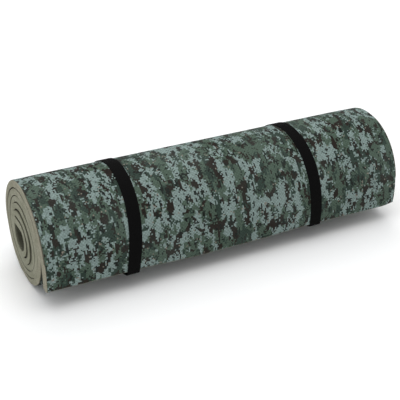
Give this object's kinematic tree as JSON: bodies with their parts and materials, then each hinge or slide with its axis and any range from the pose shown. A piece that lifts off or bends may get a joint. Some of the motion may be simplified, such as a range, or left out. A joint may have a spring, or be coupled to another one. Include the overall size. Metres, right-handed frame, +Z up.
{
  "type": "rolled foam sleeping mat",
  "caption": "Camouflage-printed foam sleeping mat, rolled up with a free flap at the front and held by elastic bands that slide off its ends.",
  "frame": {"origin": "middle of the base, on the surface that the roll lies on", "axes": "+X along the roll, from the near end to the far end; -Y towards the front, where the mat's free flap hangs; +Z up"},
  "size_m": [0.6, 0.181, 0.1581],
  "materials": {
    "foam": "matte",
    "camouflage_print": "matte",
    "elastic": "matte",
    "thread": "satin"
  },
  "bodies": {
    "mat": {"foam_core": "foam", "printed_facing": "camouflage_print"},
    "near_band": {"near_band": "elastic", "near_band_stitching": "thread"},
    "far_band": {"far_band": "elastic", "far_band_stitching": "thread"}
  },
  "joints": [
    {"name": "near_band_slide", "type": "slide", "parent": "mat", "child": "near_band", "axis": [-1, 0, 0], "range_m": [-0.14, 0.165]},
    {"name": "far_band_slide", "type": "slide", "parent": "mat", "child": "far_band", "axis": [1, 0, 0], "range_m": [-0.12, 0.19]}
  ]
}
